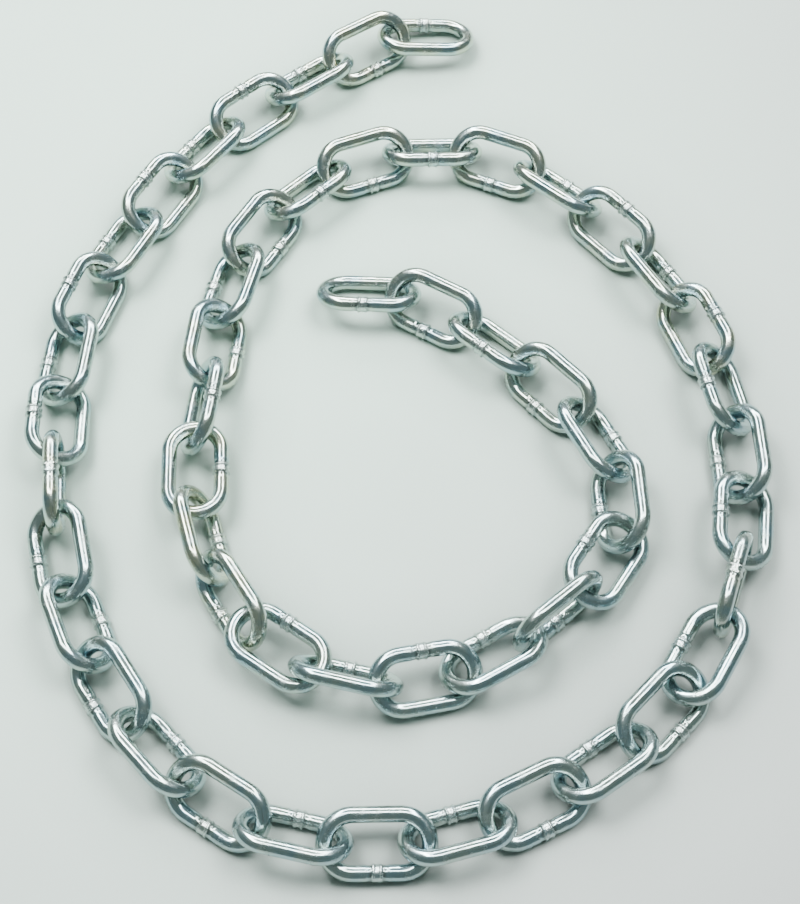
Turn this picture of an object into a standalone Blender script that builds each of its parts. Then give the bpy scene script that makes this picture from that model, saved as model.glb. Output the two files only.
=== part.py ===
"""A length of zinc plated welded steel chain, laid flat on the floor in a spiral.

Every link is its own solid: a closed loop of round wire with two straight sides
and two half-round ends. The chain starts at the outer free end, runs once round
to the left, and turns on inwards to the inner free end. The links lean in turn to
one side and the other, each with its lower side on the floor at z = 0. Where the
chain twists a few links stand steeper, and hold up the ends of those beside them.
"""
import math

import bpy
import numpy as np
from mathutils import Matrix, Vector

MM = 0.001

# The link
WIRE = 3.7 * MM
INSIDE_LENGTH = 19.5 * MM
OUTSIDE_WIDTH = 16.3 * MM
LINK_COUNT = 54

# The faceted wire: eight sides that enclose as much as the round wire does
SIDES = 8
BEVEL_RESOLUTION = 2
BEND_STEPS = 8
ROUND_AREA = math.pi * (WIRE / 2) ** 2
SECTION_RADIUS = math.sqrt(2 * ROUND_AREA / (SIDES * math.sin(2 * math.pi / SIDES)))
SECTION_FLAT = SECTION_RADIUS * math.cos(math.pi / SIDES)

# The wire's centre line in a link: its length over the bends, and their radius
SPAN = INSIDE_LENGTH + WIRE
BEND_RADIUS = (OUTSIDE_WIDTH - WIRE) / 2

# The route of the chain over the floor, in millimetres, from the outer end inwards
ROUTE_MM = (
    (18, 131), (-4, 130), (-18, 120), (-48, 97), (-68, 67), (-83, 33), (-84, -3),
    (-79, -39), (-62, -72), (-34, -97), (3, -101), (37, -88), (65, -64), (80, -30),
    (81, 7), (70, 42), (48, 71), (17, 90), (-19, 83), (-42, 54), (-48, 18), (-50, -18),
    (-35, -52), (-2, -65), (33, -50), (54, -22), (43, 9), (16, 34), (2, 44), (-28, 44),
)
ROUTE_STEPS = 40

# The lean of a link in degrees, with its left side up where it is positive. It
# changes sides from link to link. LEAN_FROM gives the usual lean from a link on.
# The chain rolls over before each link in ROLLS_BEFORE, which takes some odd leans.
LEAN_FROM = {1: 32, 13: 38, 18: 32, 26: 42, 32: 34, 49: 37}
ROLLS_BEFORE = (12, 25, 49)
ODD_LEANS = {
    1: 17, 2: -42, 7: 26, 8: -38, 10: -30, 11: 90, 12: 28, 18: 24, 20: 26, 23: -22,
    24: 84, 25: 24, 28: -36, 30: -36, 39: 61, 40: -2, 41: -58, 42: 60, 43: 1, 44: -54,
    45: 29, 46: -26, 47: 90, 48: 20, 49: -46, 54: 30,
}

# How a link hooks into the one before: how far apart the two wires' centre lines
# stay, the step in which the hook is deepened until they do, how deep it may get, how
# deep the links hook that lie slack in the last one, and how much lower than a steeper
# neighbour's end its own may lie
WIRES_APART = 2 * SECTION_RADIUS + 0.2 * MM
HOOK_STEP = 0.05 * MM
DEEPEST_HOOK = SPAN / 3
SLACK_HOOKS = {54: 5.7 * MM}
END_STEP = 0.3 * MM
LINE_PARTS = 6

# The zinc plating
ZINC_COLOUR = (0.62, 0.66, 0.67, 1.0)
ZINC_ROUGHNESS = 0.28
ZINC_METALLIC = 1.0


def clear_scene():
    """Empties the scene of whatever it holds."""
    for item in list(bpy.data.objects):
        bpy.data.objects.remove(item, do_unlink=True)


def zinc_material():
    """Bright zinc plating over steel."""
    material = bpy.data.materials.new("zinc_plated_steel")
    material.use_nodes = True
    surface = material.node_tree.nodes["Principled BSDF"]
    surface.inputs["Base Color"].default_value = ZINC_COLOUR
    surface.inputs["Metallic"].default_value = ZINC_METALLIC
    surface.inputs["Roughness"].default_value = ZINC_ROUGHNESS
    return material


def loop_points():
    """The corners of a link's centre line: two half circles, joined by straight sides."""
    bend_centre = SPAN / 2 - BEND_RADIUS
    points = []
    for side in (1, -1):
        for step in range(BEND_STEPS + 1):
            angle = math.pi * (step / BEND_STEPS - 0.5)
            x = side * (bend_centre + BEND_RADIUS * math.cos(angle))
            y = side * BEND_RADIUS * math.sin(angle)
            points.append((x, y, 0.0))
    return points


def link_curve(steepness, material):
    """A link's loop of wire, turned in its section so that a flat faces the floor."""
    curve = bpy.data.curves.new(f"link_leaning_{steepness}", "CURVE")
    curve.dimensions = "3D"
    curve.twist_mode = "Z_UP"
    curve.bevel_depth = SECTION_RADIUS
    curve.bevel_resolution = BEVEL_RESOLUTION
    points = loop_points()
    spline = curve.splines.new("POLY")
    spline.points.add(len(points) - 1)
    for point, place in zip(spline.points, points):
        point.co = (*place, 1.0)
        point.tilt = math.radians(90 - steepness) + math.pi / SIDES
    spline.use_cyclic_u = True
    curve.materials.append(material)
    return curve


def smooth_route():
    """Places close together on a smooth curve through the route's own points."""
    points = [Vector(place) * MM for place in ROUTE_MM]
    points.insert(0, 2 * points[0] - points[1])
    points.append(2 * points[-1] - points[-2])
    line = []
    for before, start, end, after in zip(points, points[1:], points[2:], points[3:]):
        for step in range(ROUTE_STEPS):
            t = step / ROUTE_STEPS
            line.append(0.5 * (
                2 * start + (end - before) * t
                + (2 * before - 5 * start + 4 * end - after) * t ** 2
                + (3 * start - before - 3 * end + after) * t ** 3
            ))
    line.append(points[-2])
    return line


class Route:
    """The smooth route, on which a place is known by its run, the way to it along the line."""

    def __init__(self, line):
        self.line = np.array(line)
        steps = np.linalg.norm(np.diff(self.line, axis=0), axis=1)
        self.runs = np.concatenate(([0.0], np.cumsum(steps)))

    def place(self, run):
        """The place at that run."""
        return np.array([np.interp(run, self.runs, self.line[:, axis]) for axis in range(2)])

    def run_ahead(self, run, start, distance):
        """The run of the place, ahead of the given run, that is that distance from the start."""
        nearest = run
        farthest = run + 1.5 * distance
        while farthest - nearest > 0.001 * MM:
            middle = (nearest + farthest) / 2
            if np.linalg.norm(self.place(middle) - start) < distance:
                nearest = middle
            else:
                farthest = middle
        return nearest


def link_lean(number):
    """The lean of one link, in degrees."""
    if number in ODD_LEANS:
        return ODD_LEANS[number]
    usual = [lean for first, lean in LEAN_FROM.items() if number >= first][-1]
    rolls = sum(number >= first for first in ROLLS_BEFORE)
    return usual if (number + rolls) % 2 else -usual


def lying_height(number):
    """The height of a link's middle when its lower side lies on the floor."""
    return SECTION_FLAT + BEND_RADIUS * abs(math.sin(math.radians(link_lean(number))))


def end_heights(number):
    """The heights of a link's two ends: one next to a steeper link is lifted by it."""
    heights = []
    for neighbour in (number - 1, number + 1):
        height = lying_height(number)
        if 1 <= neighbour <= LINK_COUNT:
            height = max(height, lying_height(neighbour) - END_STEP)
        heights.append(height)
    return heights


def link_matrix(start, end, lean):
    """Lays a link's long axis from start to end, with its lean."""
    along = Vector(end - start).normalized()
    left = Vector((-along.y, along.x, 0)).normalized()
    turn = Matrix((along, left, along.cross(left))).transposed().to_4x4()
    middle = Matrix.Translation((start + end) / 2)
    return middle @ turn @ Matrix.Rotation(math.radians(lean), 4, "X")


def placed_line(matrix):
    """Places close together on the centre line of a link that lies there."""
    corners = np.array(loop_points())
    sides = np.roll(corners, -1, axis=0) - corners
    parts = np.arange(LINE_PARTS).reshape(-1, 1, 1) / LINE_PARTS
    line = (corners + parts * sides).reshape(-1, 3)
    matrix = np.array(matrix)
    return line @ matrix[:3, :3].T + matrix[:3, 3]


def least_distance(first, second):
    """The least distance between two sets of places."""
    apart = first[:, None, :] - second[None, :, :]
    return math.sqrt((apart ** 2).sum(axis=2).min())


def lay_links(route):
    """Lays the links along the route, each hooked into the last no deeper than it has to be.

    Each link points through the middle of its grip on the link before.
    """
    matrices = []
    last_line = None
    run = 0.0
    along = np.zeros(2)
    for number in range(1, LINK_COUNT + 1):
        start_height, end_height = end_heights(number)
        tip = route.place(run)
        hook = 0.0 if last_line is None else SLACK_HOOKS.get(number, WIRES_APART)
        while hook < DEEPEST_HOOK:
            grip = tip - along * hook / 2
            end_run = route.run_ahead(run, grip, SPAN - hook / 2)
            end = route.place(end_run)
            ahead = (end - grip) / np.linalg.norm(end - grip)
            start = end - ahead * SPAN
            matrix = link_matrix(
                np.append(start, start_height), np.append(end, end_height), link_lean(number)
            )
            line = placed_line(matrix)
            if last_line is None or least_distance(last_line, line) >= WIRES_APART:
                break
            hook += HOOK_STEP
        matrices.append(matrix)
        last_line = line
        run = end_run
        along = ahead
    return matrices


def centre_over_origin(parent, links):
    """Moves the whole chain so that the middle of its box stands over the origin."""
    bpy.context.view_layer.update()
    graph = bpy.context.evaluated_depsgraph_get()
    corners = []
    for link in links:
        shape = link.evaluated_get(graph)
        corners += [link.matrix_world @ vertex.co for vertex in shape.to_mesh().vertices]
        shape.to_mesh_clear()
    for axis in range(2):
        values = [corner[axis] for corner in corners]
        parent.location[axis] = -(min(values) + max(values)) / 2


# The whole chain, hung on one empty at the spiral's middle
clear_scene()
chain = bpy.data.collections.new("steel_chain")
bpy.context.scene.collection.children.link(chain)
spiral_centre = bpy.data.objects.new("spiral_centre", None)
chain.objects.link(spiral_centre)

zinc = zinc_material()
curves = {}
links = []
for number, matrix in enumerate(lay_links(Route(smooth_route())), 1):
    steepness = abs(link_lean(number))
    if steepness not in curves:
        curves[steepness] = link_curve(steepness, zinc)
    link = bpy.data.objects.new(f"link_{number:02d}", curves[steepness])
    link.matrix_world = matrix
    link.parent = spiral_centre
    chain.objects.link(link)
    links.append(link)
centre_over_origin(spiral_centre, links)
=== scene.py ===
"""The look of a length of welded steel chain, laid in a spiral on a pale bench.

Each of the 54 links is a piece of its own, and stands in the place of the plain
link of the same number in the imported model.
"""
import math

import bpy
import numpy as np
from mathutils import Matrix, Vector


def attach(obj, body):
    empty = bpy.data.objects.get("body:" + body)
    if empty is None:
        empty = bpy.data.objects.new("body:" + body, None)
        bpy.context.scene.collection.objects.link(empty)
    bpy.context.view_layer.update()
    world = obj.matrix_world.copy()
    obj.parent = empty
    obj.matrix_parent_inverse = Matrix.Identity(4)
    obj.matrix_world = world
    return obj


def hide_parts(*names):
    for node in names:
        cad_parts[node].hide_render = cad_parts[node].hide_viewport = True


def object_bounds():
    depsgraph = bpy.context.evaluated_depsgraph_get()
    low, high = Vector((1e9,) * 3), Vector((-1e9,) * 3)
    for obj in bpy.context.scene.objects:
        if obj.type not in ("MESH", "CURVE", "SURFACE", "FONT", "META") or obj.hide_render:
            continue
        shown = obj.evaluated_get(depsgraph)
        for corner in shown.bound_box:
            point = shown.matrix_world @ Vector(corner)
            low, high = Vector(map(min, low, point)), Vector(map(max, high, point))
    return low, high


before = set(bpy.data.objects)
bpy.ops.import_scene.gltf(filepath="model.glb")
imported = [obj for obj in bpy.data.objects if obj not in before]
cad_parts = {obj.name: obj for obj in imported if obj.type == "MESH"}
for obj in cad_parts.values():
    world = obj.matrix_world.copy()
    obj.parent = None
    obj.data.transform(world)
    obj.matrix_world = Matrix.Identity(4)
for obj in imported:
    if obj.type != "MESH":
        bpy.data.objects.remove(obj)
cad_bounds = [list(map(float, corner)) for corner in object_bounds()]


# The bench top. A wide sheet of smooth pale board, plain painted. A painted pool of light
# makes it lightest at the back left, and painted shade makes it greyer further off and in
# the nooks beside the links. It isn't part of the chain.
MM = 0.001
BENCH_HALF_WIDTH = 1.6
# The board's tone under the painted pool of light, and in the painted shade further off
BENCH_PAINTED_LIT = (0.710, 0.918, 0.807, 1.0)
BENCH_PAINTED_SHADED = (0.455, 0.475, 0.475, 1.0)
BENCH_ROUGHNESS = 0.55
BENCH_SHEEN = 0.3

# How far from its painted pool of light the bench begins and ends to grey in painted shade, and how
# uneven it is
BENCH_PAINTED_LIGHT_SPOT = (-0.10, 0.09, 0.0)
BENCH_PAINTED_FADE_FROM = 0.09
BENCH_PAINTED_FADE_TO = 0.30
BENCH_CLOUD_SCALE = 7.0
BENCH_CLOUD_DETAIL = 3.0
BENCH_CLOUD_SHARE = 0.35

# The board's fine grain: its noise's scale, detail and roughness, and its relief
BENCH_GRAIN = (420.0, 4.0, 0.6)
BENCH_GRAIN_STRENGTH = 0.06
BENCH_GRAIN_DEPTH = 0.2 * MM

# The painted shade in the nooks beside the links: how near a link it begins, how fast it
# darkens, and the share of its tone that the bench keeps in the deepest
PAINTED_NOOK_SHADE_REACH = 22 * MM
PAINTED_NOOK_SHADE_POWER = 2.4
PAINTED_NOOK_SHADE_LEAST = 0.46
PAINTED_NOOK_SHADE_SAMPLES = 8


def add_node(tree, kind, **settings):
    """A new node in the tree, with its own settings given by name."""
    node = tree.nodes.new(kind)
    for name, value in settings.items():
        setattr(node, name, value)
    return node


def feed(tree, node, sockets):
    """Fills a node's inputs, by name or number, with values or other nodes' outputs."""
    for key, value in sockets.items():
        if isinstance(value, bpy.types.NodeSocket):
            tree.links.new(value, node.inputs[key])
        else:
            node.inputs[key].default_value = value
    return node


def reckon(tree, operation, *values, clamp=False):
    """A Math node's result."""
    node = add_node(tree, "ShaderNodeMath", operation=operation, use_clamp=clamp)
    feed(tree, node, dict(enumerate(values)))
    return node.outputs[0]


def reckon_vector(tree, operation, *values):
    """A Vector Math node's result, which for a dot product or a length is a number."""
    node = add_node(tree, "ShaderNodeVectorMath", operation=operation)
    for key, value in enumerate(values):
        feed(tree, node, {"Scale" if operation == "SCALE" and key == 1 else key: value})
    return node.outputs["Value" if operation in ("DOT_PRODUCT", "LENGTH") else "Vector"]


def join_vector(tree, x, y, z):
    """A vector put together from three numbers."""
    return feed(tree, add_node(tree, "ShaderNodeCombineXYZ"), {0: x, 1: y, 2: z}).outputs[0]


def noise(tree, place, scale, detail=2.0, roughness=0.5):
    """A noise texture's value, from 0 to 1."""
    node = add_node(tree, "ShaderNodeTexNoise")
    feed(tree, node, {"Vector": place, "Scale": scale, "Detail": detail, "Roughness": roughness})
    return node.outputs["Fac"]


def centred_noise(tree, place, scale, detail=2.0):
    """A noise texture's value, less one half, so that it goes both ways from 0."""
    return reckon(tree, "SUBTRACT", noise(tree, place, scale, detail), 0.5)


def spread(tree, value, low, high, to_low=0.0, to_high=1.0, smooth=False):
    """A value's range from low to high, stretched to another range and held inside it."""
    node = add_node(
        tree, "ShaderNodeMapRange", interpolation_type="SMOOTHSTEP" if smooth else "LINEAR"
    )
    feed(tree, node, {
        "Value": value, "From Min": low, "From Max": high, "To Min": to_low, "To Max": to_high,
    })
    return node.outputs["Result"]


def blend_colours(tree, share, first, second):
    """One colour turning into another as the share goes from 0 to 1.

    The node has sockets for numbers and vectors too. Those for colours are 6, 7 and 2.
    """
    node = add_node(tree, "ShaderNodeMix", data_type="RGBA")
    feed(tree, node, {"Factor": share, 6: first, 7: second})
    return node.outputs[2]


def new_material(name):
    """A new material, its node tree, and the Principled BSDF in it."""
    material = bpy.data.materials.new(name)
    material.use_nodes = True
    return material, material.node_tree, material.node_tree.nodes["Principled BSDF"]


bench_board, tree, surface = new_material("pale_bench_board")
place = add_node(tree, "ShaderNodeTexCoord").outputs["Object"]
# Painted pool of light: the bench's colour turns from lit to shaded with the way from one spot
from_painted_light = reckon_vector(
    tree, "LENGTH", reckon_vector(tree, "SUBTRACT", place, BENCH_PAINTED_LIGHT_SPOT)
)
cloud = reckon(
    tree, "MULTIPLY",
    centred_noise(tree, place, BENCH_CLOUD_SCALE, BENCH_CLOUD_DETAIL), BENCH_CLOUD_SHARE,
)
shade = reckon(
    tree, "ADD", spread(tree, from_painted_light, BENCH_PAINTED_FADE_FROM, BENCH_PAINTED_FADE_TO), cloud, clamp=True
)
# Painted shade: the bench's colour darkens where the links hide the open air above it
open_air = feed(tree, add_node(tree, "ShaderNodeAmbientOcclusion", samples=PAINTED_NOOK_SHADE_SAMPLES), {
    "Distance": PAINTED_NOOK_SHADE_REACH,
}).outputs["AO"]
painted_nook_shade = spread(tree, reckon(tree, "POWER", open_air, PAINTED_NOOK_SHADE_POWER), 0.0, 1.0, PAINTED_NOOK_SHADE_LEAST, 1.0)
bench_colour = reckon_vector(
    tree, "SCALE", blend_colours(tree, shade, BENCH_PAINTED_LIT, BENCH_PAINTED_SHADED), painted_nook_shade
)
board_bump = feed(tree, add_node(tree, "ShaderNodeBump"), {
    "Strength": BENCH_GRAIN_STRENGTH,
    "Distance": BENCH_GRAIN_DEPTH,
    "Height": noise(tree, place, *BENCH_GRAIN),
})
feed(tree, surface, {
    "Base Color": bench_colour,
    "Roughness": BENCH_ROUGHNESS,
    "Specular IOR Level": BENCH_SHEEN,
    "Normal": board_bump.outputs["Normal"],
})

bench_mesh = bpy.data.meshes.new("bench_top")
bench_mesh.from_pydata(
    [(x * BENCH_HALF_WIDTH, y * BENCH_HALF_WIDTH, 0.0)
     for x, y in ((-1, -1), (1, -1), (1, 1), (-1, 1))],
    [], [(0, 1, 2, 3)],
)
bench_mesh.materials.append(bench_board)
bench_top = bpy.data.objects.new("bench_top", bench_mesh)
bpy.context.scene.collection.objects.link(bench_top)


# The links. Drawn round steel wire is bent to a loop, closed with a butt weld in the
# middle of one straight side, and zinc plated. The weld stands as a ragged collar,
# with the marks of the welding clamps on both sides of it.
WIRE = 3.7 * MM
INSIDE_LENGTH = 19.5 * MM
OUTSIDE_WIDTH = 16.3 * MM
LINK_COUNT = 54

# Two corners of a packed link are one where these decimals of their places are the same
CORNER_DECIMALS = 7

# How finely a link is made: the steps round its loop, the rings along its wire, how much
# closer these stand by the weld, and the sides of each. The loop's two halves are
# pulled apart over a stretch at its middle that is twice MIDDLE_WIDTH.
LOOP_FINENESS = 192
RINGS = 196
RING_CROWDING = 0.86
SIDES = 24
MIDDLE_WIDTH = 0.01 * MM

# The weld collar seen from its middle outwards: way along the wire over the reach,
# and height over the collar's height, on a scale where one half is the bare wire
WELD_REACH = 3.2 * MM
WELD_HEIGHT = 0.32 * MM
WELD_PROFILE = (
    (0.00, 0.64), (0.10, 0.58), (0.19, 0.74), (0.25, 1.00), (0.31, 0.92), (0.37, 0.50),
    (0.44, 0.33), (0.70, 0.35), (0.80, 0.55), (0.90, 0.50), (1.00, 0.50),
)

# How ragged the collar's edge and its top are, and the wire's own waves and dents. Each
# scale is that of a noise. Where the noise goes over TOP_NOISES, the collar's height
# goes over TOP_SHARES. Where it goes over DENT_NOISES, a dent goes to its depth.
EDGE_RAGGEDNESS = 0.6 * MM
EDGE_SCALE = 620.0
TOP_SCALE = 640.0
TOP_NOISES = (0.3, 0.7)
TOP_SHARES = (0.55, 1.20)
UNEVENNESS = 0.018 * MM
WAVE_SCALE = 130.0
DENT_DEPTH = 0.04 * MM
DENT_SCALE = 330.0
DENT_DETAIL = 1.0
DENT_NOISES = (0.72, 0.84)

# How far apart two neighbouring links take their noise, so that none looks like another
SEED_STEP = 0.37

# The side that the weld is on, looking along the chain from its outer end: left or
# right, or up or down where the link stands on its edge. A few sit off its middle.
WELD_SIDES = "RLRRRRRRRRURLRLRLRLRLRLULLLRRRRLLLLLRLLLLRLLLLDLLRLLLL"
WELD_SHIFTS = {29: 1.3 * MM, 43: 1.6 * MM, 54: -1.2 * MM}

# How yellow the plating shows on a link, or how blue where it is negative. TINGE_FROM
# gives it from a link on, and ODD_TINGES for the links that differ from those beside.
TINGE_FROM = {1: 0.4, 5: 0.1, 8: -0.4, 28: 0.1, 37: -0.1, 44: -0.4, 51: 0.0}
ODD_TINGES = {
    2: 0.6, 11: 0.8, 16: -0.1, 24: 0.0, 28: 0.7, 32: 0.3, 34: 0.4, 38: 0.4, 40: 0.6, 41: 0.8,
    42: 0.4,
}

ZINC_GREY = (0.405, 0.480, 0.462, 1.0)
ZINC_BLUE = (0.315, 0.430, 0.475, 1.0)
ZINC_YELLOW = (0.590, 0.575, 0.420, 1.0)
ZINC_DULL = (0.255, 0.310, 0.300, 1.0)
# The next two are painted: a highlight on the weld's collar, and shade in the grooves on both sides
# of it
WELD_PAINTED_HIGHLIGHT = (0.530, 0.590, 0.575, 1.0)
WELD_GROOVE_PAINTED_SHADE = (0.170, 0.205, 0.198, 1.0)

# The plating's noises: the scale, detail and roughness of each. The drawn lines' has its
# scales along the wire and across it beforehand.
LINE_SCALES = (200.0, 2300.0, 2300.0)
LINES = (1.0, 4.0, 0.6)
CLOUDS = (160.0, 3.0, 0.55)
PATCHES = (420.0, 4.0, 0.6)
PITS = (2600.0, 2.0, 0.5)
GRAINS = (1900.0, 3.0, 0.65)

# The values of a noise between which each look comes up
BLUE_CLOUDS = (0.40, 0.66)
YELLOW_CLOUDS = (0.62, 0.36)
YELLOW_TINGES = (-0.5, 1.0)
DULL_PATCHES = (0.52, 0.72)
DULL_LINES = (0.50, 0.66)
ROUGH_LINES = (0.3, 0.7)
ROUGH_PATCHES = (0.45, 0.75)
DEEP_PITS = (0.66, 0.78)
WELD_GRAINS = (0.35, 0.65)

# How much of its colour each of them takes, and what it adds in roughness and height
PATCH_DULLNESS = 0.35
LINE_DULLNESS = 0.55
PIT_DULLNESS = 0.5
GROOVE_PAINTED_SHADE_SHARE = 0.70
LINE_ROUGHNESS = (0.14, 0.24)
PATCH_ROUGHNESS = 0.14
WELD_ROUGHNESS = 0.05
PIT_HEIGHT = -0.6
WELD_GRAIN_HEIGHT = 2.5
RELIEF_STRENGTH = 0.45
RELIEF_DEPTH = 0.02 * MM

# Ways from the weld's middle: where the painted highlight on its collar fades out, and
# where the painted shade in the grooves on both sides of it comes up and fades out
COLLAR_FADE = (1.9 * MM, 1.1 * MM)
GROOVE_START = (1.0 * MM, 1.35 * MM)
GROOVE_FADE = (2.1 * MM, 1.5 * MM)


def link_tree():
    """The node tree that makes one link, lying flat, its weld on the side of +Y."""
    tree = bpy.data.node_groups.new("welded_link", "GeometryNodeTree")
    tree.interface.new_socket("Geometry", in_out="INPUT", socket_type="NodeSocketGeometry")
    for name, kind, value in (
        ("Wire Diameter", "NodeSocketFloat", WIRE),
        ("Inside Length", "NodeSocketFloat", INSIDE_LENGTH),
        ("Outside Width", "NodeSocketFloat", OUTSIDE_WIDTH),
        ("Weld Height", "NodeSocketFloat", WELD_HEIGHT),
        ("Weld Reach", "NodeSocketFloat", WELD_REACH),
        ("Weld Shift", "NodeSocketFloat", 0.0),
        ("Unevenness", "NodeSocketFloat", UNEVENNESS),
        ("Dent Depth", "NodeSocketFloat", DENT_DEPTH),
        ("Plating Tinge", "NodeSocketFloat", 0.0),
        ("Seed", "NodeSocketInt", 0),
        ("Plating", "NodeSocketMaterial", None),
    ):
        socket = tree.interface.new_socket(name, in_out="INPUT", socket_type=kind)
        if value is not None:
            socket.default_value = value
    tree.interface.new_socket("Geometry", in_out="OUTPUT", socket_type="NodeSocketGeometry")
    given = add_node(tree, "NodeGroupInput").outputs

    wire_radius = reckon(tree, "DIVIDE", given["Wire Diameter"], 2.0)
    bend_radius = reckon(
        tree, "SUBTRACT", reckon(tree, "DIVIDE", given["Outside Width"], 2.0), wire_radius
    )
    half_straight = reckon(tree, "SUBTRACT", reckon(
        tree, "ADD", reckon(tree, "DIVIDE", given["Inside Length"], 2.0), wire_radius
    ), bend_radius)

    # A circle, pulled apart along X to a loop with two straight sides
    circle = feed(tree, add_node(tree, "GeometryNodeCurvePrimitiveCircle"), {
        "Resolution": LOOP_FINENESS, "Radius": bend_radius,
    })
    turned = feed(tree, add_node(tree, "GeometryNodeTransform"), {
        "Geometry": circle.outputs["Curve"], "Rotation": (0.0, 0.0, math.pi / 2),
    })
    here = add_node(tree, "GeometryNodeInputPosition").outputs[0]
    x = feed(tree, add_node(tree, "ShaderNodeSeparateXYZ"), {0: here}).outputs["X"]
    end = spread(tree, x, -MIDDLE_WIDTH, MIDDLE_WIDTH, -1.0, 1.0)
    loop = feed(tree, add_node(tree, "GeometryNodeSetPosition"), {
        "Geometry": turned.outputs[0],
        "Offset": join_vector(tree, reckon(tree, "MULTIPLY", end, half_straight), 0.0, 0.0),
    }).outputs[0]

    # Rings along the loop, crowded together near the weld
    rings = feed(tree, add_node(tree, "GeometryNodeResampleCurve"), {
        "Curve": loop, "Count": RINGS,
    }).outputs[0]
    share = add_node(tree, "GeometryNodeSplineParameter").outputs["Factor"]
    crowding = reckon(tree, "MULTIPLY", reckon(
        tree, "SINE", reckon(tree, "MULTIPLY", share, 2 * math.pi)
    ), RING_CROWDING / (2 * math.pi))
    loop_length = feed(tree, add_node(tree, "GeometryNodeCurveLength"), {0: loop}).outputs[0]
    shift_share = reckon(tree, "DIVIDE", given["Weld Shift"], loop_length)
    moved_share = reckon(tree, "FRACT", reckon(
        tree, "ADD", reckon(tree, "SUBTRACT", share, crowding),
        reckon(tree, "ADD", shift_share, 1.0),
    ))
    ring_place = feed(tree, add_node(tree, "GeometryNodeSampleCurve", mode="FACTOR"), {
        "Curves": loop, "Factor": moved_share,
    }).outputs["Position"]
    shape = feed(tree, add_node(tree, "GeometryNodeSetPosition"), {
        "Geometry": rings, "Position": ring_place,
    }).outputs[0]

    # What the mesh has to know of its place on the wire
    run = add_node(tree, "GeometryNodeSplineParameter").outputs["Length"]
    whole = add_node(tree, "GeometryNodeSplineLength").outputs["Length"]
    way_to_weld = reckon(tree, "MINIMUM", run, reckon(tree, "SUBTRACT", whole, run))
    direction = add_node(tree, "GeometryNodeInputTangent").outputs[0]
    for name, kind, value in (
        ("run", "FLOAT", run),
        ("weld_distance", "FLOAT", way_to_weld),
        ("centre_line", "FLOAT_VECTOR", here),
        ("wire_direction", "FLOAT_VECTOR", direction),
    ):
        shape = feed(tree, add_node(
            tree, "GeometryNodeStoreNamedAttribute", data_type=kind, domain="POINT"
        ), {"Geometry": shape, "Name": name, "Value": value}).outputs[0]
    profile = feed(tree, add_node(tree, "GeometryNodeCurvePrimitiveCircle"), {
        "Resolution": SIDES, "Radius": wire_radius,
    })
    shape = feed(tree, add_node(tree, "GeometryNodeCurveToMesh"), {
        "Curve": shape, "Profile Curve": profile.outputs["Curve"],
    }).outputs[0]

    def stored(name, kind="FLOAT"):
        """A named attribute of the mesh."""
        node = add_node(tree, "GeometryNodeInputNamedAttribute", data_type=kind)
        return feed(tree, node, {"Name": name}).outputs["Attribute"]

    # A place on the straightened wire: the way along it, and two ways across it
    from_centre = reckon_vector(tree, "SUBTRACT", here, stored("centre_line", "FLOAT_VECTOR"))
    up = (0.0, 0.0, 1.0)
    outwards = reckon_vector(tree, "CROSS_PRODUCT", stored("wire_direction", "FLOAT_VECTOR"), up)
    wire_place = join_vector(
        tree, stored("run"),
        reckon_vector(tree, "DOT_PRODUCT", from_centre, outwards),
        reckon_vector(tree, "DOT_PRODUCT", from_centre, up),
    )
    shape = feed(tree, add_node(
        tree, "GeometryNodeStoreNamedAttribute", data_type="FLOAT_VECTOR", domain="POINT"
    ), {"Geometry": shape, "Name": "wire_place", "Value": wire_place}).outputs[0]
    shape = feed(tree, add_node(
        tree, "GeometryNodeStoreNamedAttribute", data_type="FLOAT", domain="POINT"
    ), {"Geometry": shape, "Name": "plating_tinge", "Value": given["Plating Tinge"]}).outputs[0]

    # The weld collar, ragged all round, then the wire's own unevenness and its dents
    seed_shift = reckon(tree, "MULTIPLY", given["Seed"], SEED_STEP)
    seeded = reckon_vector(
        tree, "ADD", stored("wire_place", "FLOAT_VECTOR"),
        join_vector(tree, 0.0, seed_shift, seed_shift),
    )
    collar = add_node(tree, "ShaderNodeFloatCurve")
    points = collar.mapping.curves[0].points
    points[0].location = WELD_PROFILE[0]
    points[1].location = WELD_PROFILE[-1]
    for corner in WELD_PROFILE[1:-1]:
        points.new(*corner)
    collar.mapping.update()
    ragged_way = reckon(tree, "ADD", stored("weld_distance"), reckon(
        tree, "MULTIPLY", centred_noise(tree, seeded, EDGE_SCALE), EDGE_RAGGEDNESS
    ))
    feed(tree, collar, {"Factor": 1.0, "Value": reckon(
        tree, "DIVIDE", ragged_way, given["Weld Reach"], clamp=True
    )})
    smooth_height = reckon(tree, "MULTIPLY", reckon(tree, "SUBTRACT", collar.outputs[0], 0.5), 2.0)
    raggedness = spread(tree, noise(tree, seeded, TOP_SCALE), *TOP_NOISES, *TOP_SHARES)
    collar_height = reckon(
        tree, "MULTIPLY", reckon(tree, "MULTIPLY", smooth_height, raggedness), given["Weld Height"]
    )
    wave = reckon(
        tree, "MULTIPLY", centred_noise(tree, seeded, WAVE_SCALE),
        reckon(tree, "MULTIPLY", given["Unevenness"], 2.0),
    )
    dent = reckon(tree, "MULTIPLY", spread(
        tree, noise(tree, seeded, DENT_SCALE, DENT_DETAIL), *DENT_NOISES, smooth=True
    ), given["Dent Depth"])
    height = reckon(tree, "SUBTRACT", reckon(tree, "ADD", collar_height, wave), dent)
    shape = feed(tree, add_node(tree, "GeometryNodeSetPosition"), {
        "Geometry": shape,
        "Offset": reckon_vector(
            tree, "SCALE", reckon_vector(tree, "NORMALIZE", from_centre), height
        ),
    }).outputs[0]

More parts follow.
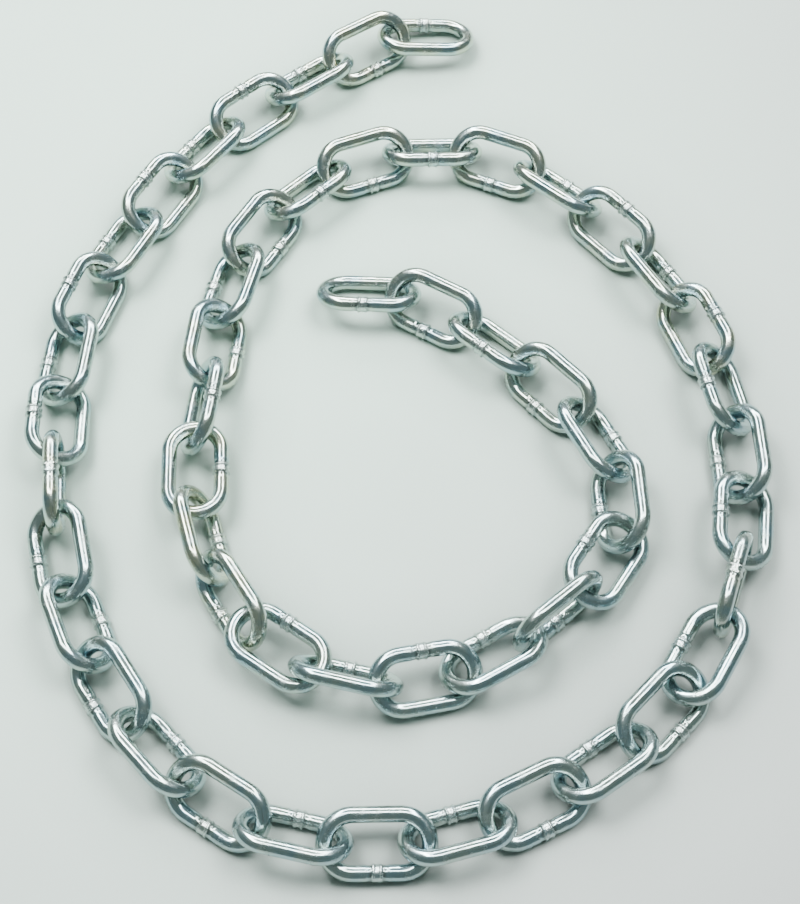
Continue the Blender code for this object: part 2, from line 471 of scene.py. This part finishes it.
    shape = feed(tree, add_node(tree, "GeometryNodeSetShadeSmooth"), {"Geometry": shape}).outputs[0]
    shape = feed(tree, add_node(tree, "GeometryNodeRealizeInstances"), {0: shape}).outputs[0]
    shape = feed(tree, add_node(tree, "GeometryNodeSetMaterial"), {
        "Geometry": shape, "Material": given["Plating"],
    }).outputs[0]
    tree.links.new(shape, add_node(tree, "NodeGroupOutput").inputs[0])
    return tree


def zinc_plating():
    """Bright zinc over drawn wire: fine lines along it, faint clouds, a painted highlight on the
    weld's collar and painted shade in the grooves beside it.
    """
    material, tree, surface = new_material("bright_zinc_plating")

    def stored(name):
        """A named attribute of the mesh."""
        return add_node(tree, "ShaderNodeAttribute", attribute_name=name).outputs

    weld_distance = stored("weld_distance")["Fac"]
    place = add_node(tree, "ShaderNodeTexCoord").outputs["Object"]
    line_place = reckon_vector(tree, "MULTIPLY", stored("wire_place")["Vector"], LINE_SCALES)
    lines = noise(tree, line_place, *LINES)
    clouds = noise(tree, place, *CLOUDS)
    patches = noise(tree, place, *PATCHES)
    pits = spread(tree, noise(tree, place, *PITS), *DEEP_PITS)
    collar = spread(tree, weld_distance, *COLLAR_FADE, smooth=True)
    grains = spread(tree, noise(tree, place, *GRAINS), *WELD_GRAINS)
    weld_grains = reckon(tree, "MULTIPLY", collar, grains)

    # Grey zinc, blue or yellow in clouds, duller in patches, lines and pits, with a painted
    # highlight on the weld's collar and painted shade in the grooves beside it
    yellow = reckon(
        tree, "MULTIPLY", spread(tree, clouds, *YELLOW_CLOUDS),
        spread(tree, stored("plating_tinge")["Fac"], *YELLOW_TINGES), clamp=True,
    )
    dull = reckon(
        tree, "MAXIMUM", spread(tree, patches, *DULL_PATCHES, 0.0, PATCH_DULLNESS),
        spread(tree, lines, *DULL_LINES, 0.0, LINE_DULLNESS),
    )
    # Painted shade in the grooves beside the weld collar
    painted_groove_shade = reckon(
        tree, "MULTIPLY", spread(tree, weld_distance, *GROOVE_START, 0.0, GROOVE_PAINTED_SHADE_SHARE),
        spread(tree, weld_distance, *GROOVE_FADE),
    )
    colour = ZINC_GREY
    for share, other in (
        (spread(tree, clouds, *BLUE_CLOUDS), ZINC_BLUE),
        (yellow, ZINC_YELLOW),
        (dull, ZINC_DULL),
        (reckon(tree, "MULTIPLY", pits, PIT_DULLNESS), ZINC_DULL),
        (weld_grains, WELD_PAINTED_HIGHLIGHT),
        (painted_groove_shade, WELD_GROOVE_PAINTED_SHADE),
    ):
        colour = blend_colours(tree, share, colour, other)

    roughness = spread(tree, lines, *ROUGH_LINES, *LINE_ROUGHNESS)
    for more in (
        spread(tree, patches, *ROUGH_PATCHES, 0.0, PATCH_ROUGHNESS),
        reckon(tree, "MULTIPLY", collar, WELD_ROUGHNESS),
    ):
        roughness = reckon(tree, "ADD", roughness, more)
    height = lines
    for more in (
        reckon(tree, "MULTIPLY", pits, PIT_HEIGHT),
        reckon(tree, "MULTIPLY", weld_grains, WELD_GRAIN_HEIGHT),
    ):
        height = reckon(tree, "ADD", height, more)
    relief = feed(tree, add_node(tree, "ShaderNodeBump"), {
        "Strength": RELIEF_STRENGTH, "Distance": RELIEF_DEPTH, "Height": height,
    })
    feed(tree, surface, {
        "Base Color": colour,
        "Metallic": 1.0,
        "Roughness": roughness,
        "Normal": relief.outputs["Normal"],
    })
    return material


def places_of(mesh):
    """The places of a mesh's corners."""
    places = np.empty(len(mesh.vertices) * 3)
    mesh.vertices.foreach_get("co", places)
    return places.reshape(-1, 3)


def packed_ways():
    """Each packed link's middle, and the ways of its width and its height."""
    packed = []
    for number in range(1, LINK_COUNT + 1):
        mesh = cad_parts[f"link_{number:02d}"].data
        corners = np.unique(np.round(places_of(mesh), CORNER_DECIMALS), axis=0)
        middle = corners.mean(axis=0)
        height_way, width_way, _ = np.linalg.eigh(np.cov((corners - middle).T))[1].T
        packed.append((middle, width_way, height_way))
    return packed


def turned_to(way, wanted):
    """A way or the one opposite to it, whichever goes more towards the one wanted."""
    return way if way @ wanted > 0 else -way


def link_place(packed, number):
    """Where a link lies: +Y towards its weld, and +Z to the side that faces up.

    A link that stands on its edge has its right side for the one that faces up.
    """
    middle, width_way, height_way = packed[number - 1]
    before = packed[max(number - 2, 0)][0]
    after = packed[min(number, LINK_COUNT - 1)][0]
    ahead = after - before
    right = np.array([ahead[1], -ahead[0], 0.0])
    top = np.array([0.0, 0.0, 1.0])
    wanted = {"L": -right, "R": right, "U": top, "D": -top}
    weld_way = turned_to(width_way, wanted[WELD_SIDES[number - 1]])
    up = turned_to(height_way, top + right)
    place = np.eye(4)
    place[:3, :3] = np.stack([np.cross(weld_way, up), weld_way, up], axis=1)
    place[:3, 3] = middle
    return Matrix(place)


def link_tinge(number):
    """How yellow or blue the plating shows on a link."""
    usual = [tinge for first, tinge in TINGE_FROM.items() if number >= first][-1]
    return ODD_TINGES.get(number, usual)


def made_link(tree, settings):
    """The mesh that the node tree makes of a link, with the inputs given by name."""
    blank = bpy.data.objects.new("link_blank", bpy.data.meshes.new("link_blank"))
    bpy.context.scene.collection.objects.link(blank)
    maker = blank.modifiers.new("welded_link", "NODES")
    maker.node_group = tree
    for item in tree.interface.items_tree:
        if item.name in settings:
            maker[item.identifier] = settings[item.name]
    made = blank.evaluated_get(bpy.context.evaluated_depsgraph_get())
    mesh = bpy.data.meshes.new_from_object(made)
    bpy.data.objects.remove(blank, do_unlink=True)
    return mesh


links_tree = link_tree()
plating = zinc_plating()
packed = packed_ways()
for number in range(1, LINK_COUNT + 1):
    mesh = made_link(links_tree, {
        "Weld Shift": WELD_SHIFTS.get(number, 0.0),
        "Plating Tinge": link_tinge(number),
        "Seed": number,
        "Plating": plating,
    })
    mesh.transform(link_place(packed, number))
    mesh.vertices.foreach_set("co", np.clip(places_of(mesh), *cad_bounds).ravel())
    mesh.update()
    mesh.name = f"welded_link_{number:02d}"
    link = bpy.data.objects.new(mesh.name, mesh)
    bpy.context.scene.collection.objects.link(link)
    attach(link, "root")
    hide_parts(f"link_{number:02d}")


# The camera. It looks down on the chain from the side of the spiral's open bottom,
# through a longish lens, as the picture was taken.
CAMERA_PLACE = Vector((0.0008, -0.2468, 0.4033))
CAMERA_AIM = Vector((0.0008, -0.0149, 0.0))
CAMERA_LENS = 85.2
CAMERA_SENSOR = 36.0
CAMERA_NEAREST = 10 * MM

lens = bpy.data.cameras.new("bench_camera")
lens.lens = CAMERA_LENS
lens.sensor_width = CAMERA_SENSOR
lens.sensor_fit = "HORIZONTAL"
lens.clip_start = CAMERA_NEAREST
camera = bpy.data.objects.new("bench_camera", lens)
camera.location = CAMERA_PLACE
camera.rotation_euler = (CAMERA_AIM - CAMERA_PLACE).to_track_quat("-Z", "Y").to_euler()
bpy.context.scene.collection.objects.link(camera)
bpy.context.scene.camera = camera


# The light. Four long tubes round a square give each wire its pair of bright lines
# with a dark one between, whichever way it lies. Two soft panels, from the left and
# the right, light the bench and throw the soft shadows. The room is a dim grey green.
TUBES_WAY = Vector((0.0, 0.50, 0.866))
TUBES_NEAR = Vector((0.0, -0.866, 0.50))
TUBES_RIGHT = Vector((1.0, 0.0, 0.0))
TUBES_DISTANCE = 1.40
TUBES_HALF_SIDE = 0.62
TUBE_THICKNESS = 0.11
TUBE_COLOUR = (0.97, 1.0, 0.985)

# Each tube's way from the square's middle, and its power
TUBES = (
    ("far_tube", -TUBES_NEAR, 43.0),
    ("near_tube", TUBES_NEAR, 27.0),
    ("left_tube", -TUBES_RIGHT, 43.0),
    ("right_tube", TUBES_RIGHT, 27.0),
)

# Each panel's place, the length of its sides, and its power
SOFT_PANELS = (
    ("left_panel", Vector((-0.42, 0.25, 0.95)), 0.52, 21.5),
    ("right_panel", Vector((0.70, 0.31, 1.40)), 0.80, 37.0),
)
SOFT_PANEL_COLOUR = (0.97, 1.0, 0.98)
ROOM_LOW = (0.28, 0.335, 0.315, 1.0)
ROOM_HIGH = (0.22, 0.28, 0.27, 1.0)
ROOM_HIGH_FROM = 0.6


def hang_lamp(name, place, facing, size, power, colour):
    """A flat rectangular lamp, its first side along X, facing along a way."""
    lamp = bpy.data.lights.new(name, "AREA")
    lamp.shape = "RECTANGLE"
    lamp.size, lamp.size_y = size
    lamp.energy = power
    lamp.color = colour
    holder = bpy.data.objects.new(name, lamp)
    holder.location = place
    holder.rotation_euler = facing.to_track_quat("-Z", "Y").to_euler()
    bpy.context.scene.collection.objects.link(holder)
    return holder


for name, side_way, power in TUBES:
    place = TUBES_WAY * TUBES_DISTANCE + side_way * TUBES_HALF_SIDE
    size = (2 * TUBES_HALF_SIDE, TUBE_THICKNESS)
    if side_way.x:
        size = (TUBE_THICKNESS, 2 * TUBES_HALF_SIDE)
    tube = hang_lamp(name, place, -TUBES_WAY, size, power, TUBE_COLOUR)
    tube.visible_diffuse = False
for name, place, side, power in SOFT_PANELS:
    soft_panel = hang_lamp(name, place, -place, (side, side), power, SOFT_PANEL_COLOUR)
    soft_panel.visible_glossy = False

room = bpy.data.worlds.new("room")
room.use_nodes = True
bpy.context.scene.world = room
tree = room.node_tree
height = feed(tree, add_node(tree, "ShaderNodeSeparateXYZ"), {
    0: add_node(tree, "ShaderNodeTexCoord").outputs["Generated"],
}).outputs["Z"]
high = spread(tree, height, 0.0, ROOM_HIGH_FROM)
feed(tree, tree.nodes["Background"], {
    "Color": blend_colours(tree, high, ROOM_LOW, ROOM_HIGH), "Strength": 1.0,
})
